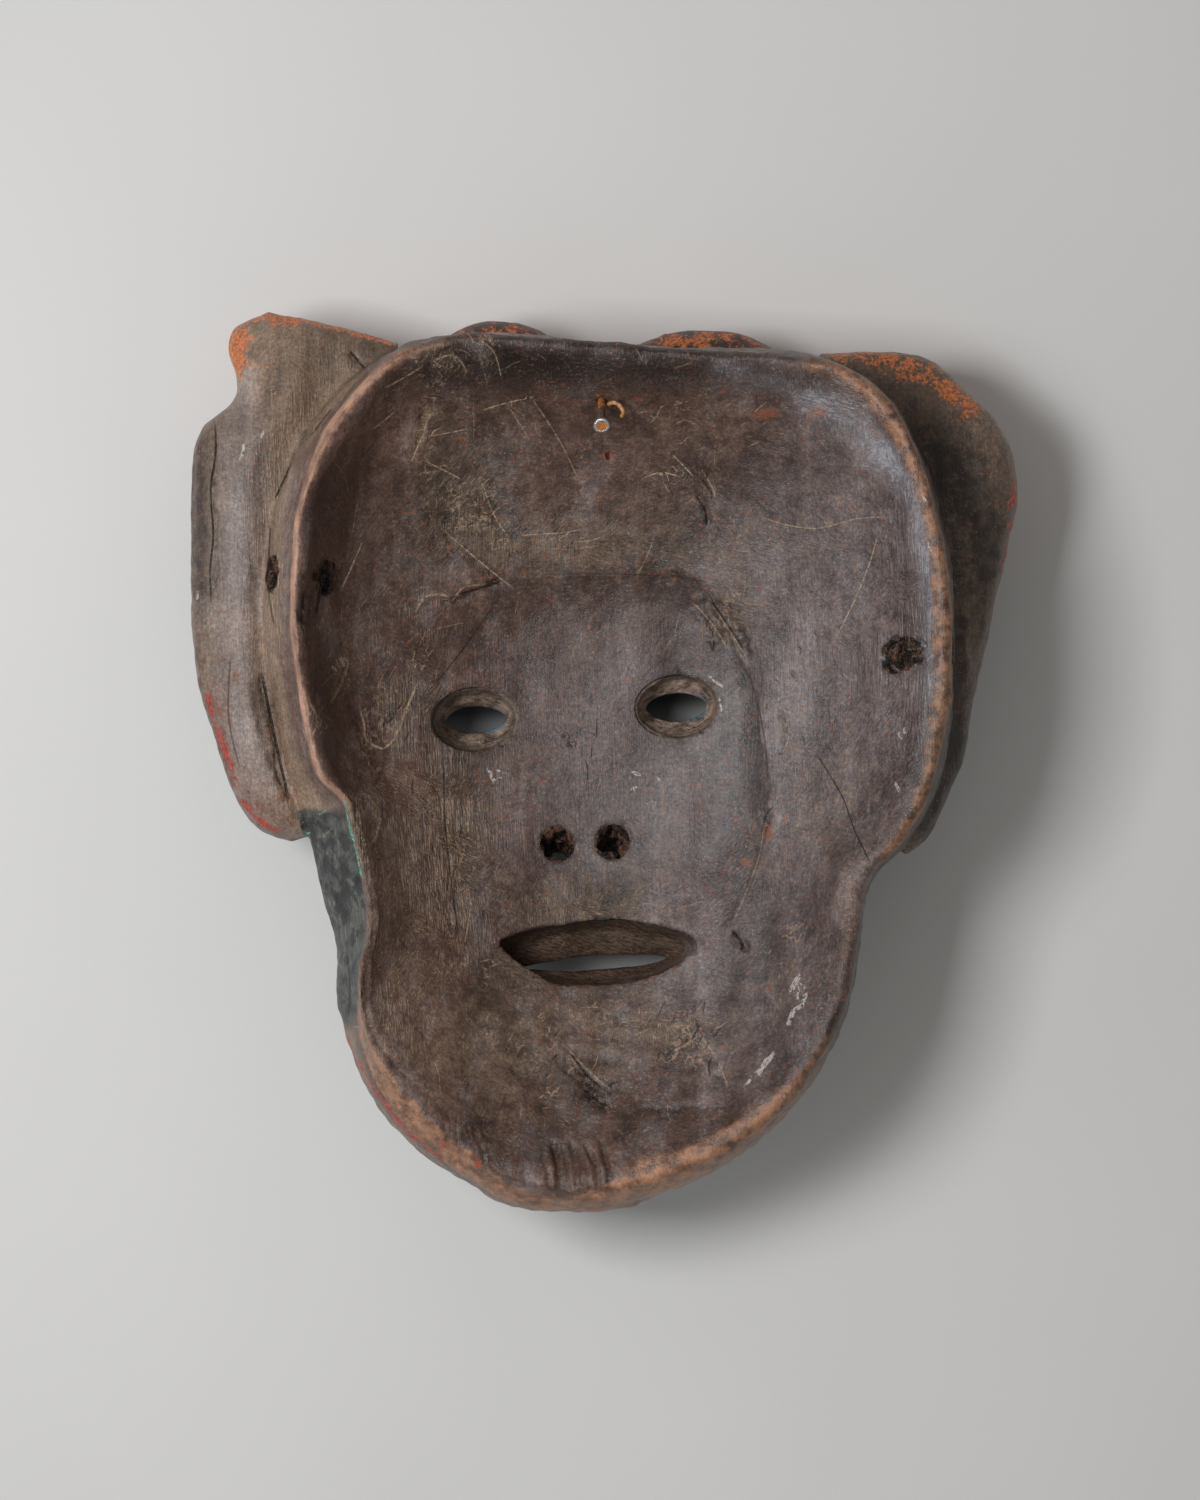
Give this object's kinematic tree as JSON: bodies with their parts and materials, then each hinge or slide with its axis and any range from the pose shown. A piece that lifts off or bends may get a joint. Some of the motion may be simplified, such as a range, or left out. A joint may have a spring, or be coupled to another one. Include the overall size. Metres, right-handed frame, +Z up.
{
  "type": "carved wooden wall mask",
  "caption": "Carved wooden face mask with a deep hollow back, rounded rim, side lobes, hair curls, eye, nostril and mouth openings, cord holes, and an old nail and wire hook.",
  "frame": {"origin": "under the middle of the mask's bounding box, on the surface it lies on", "axes": "+X to the right and +Y to the crown as seen from the hollow side, +Z up out of the hollow; the face looks down"},
  "size_m": [0.256, 0.2774, 0.092],
  "materials": {
    "carved_wood": "dark worn wood with old paint",
    "rusty_iron": "rusted, bright worn rim on the head",
    "rusty_wire": "rusted, golden tan"
  },
  "bodies": {
    "root": {"carved_mask": "carved_wood", "nail": "rusty_iron", "wire_hook": "rusty_wire"}
  },
  "joints": []
}
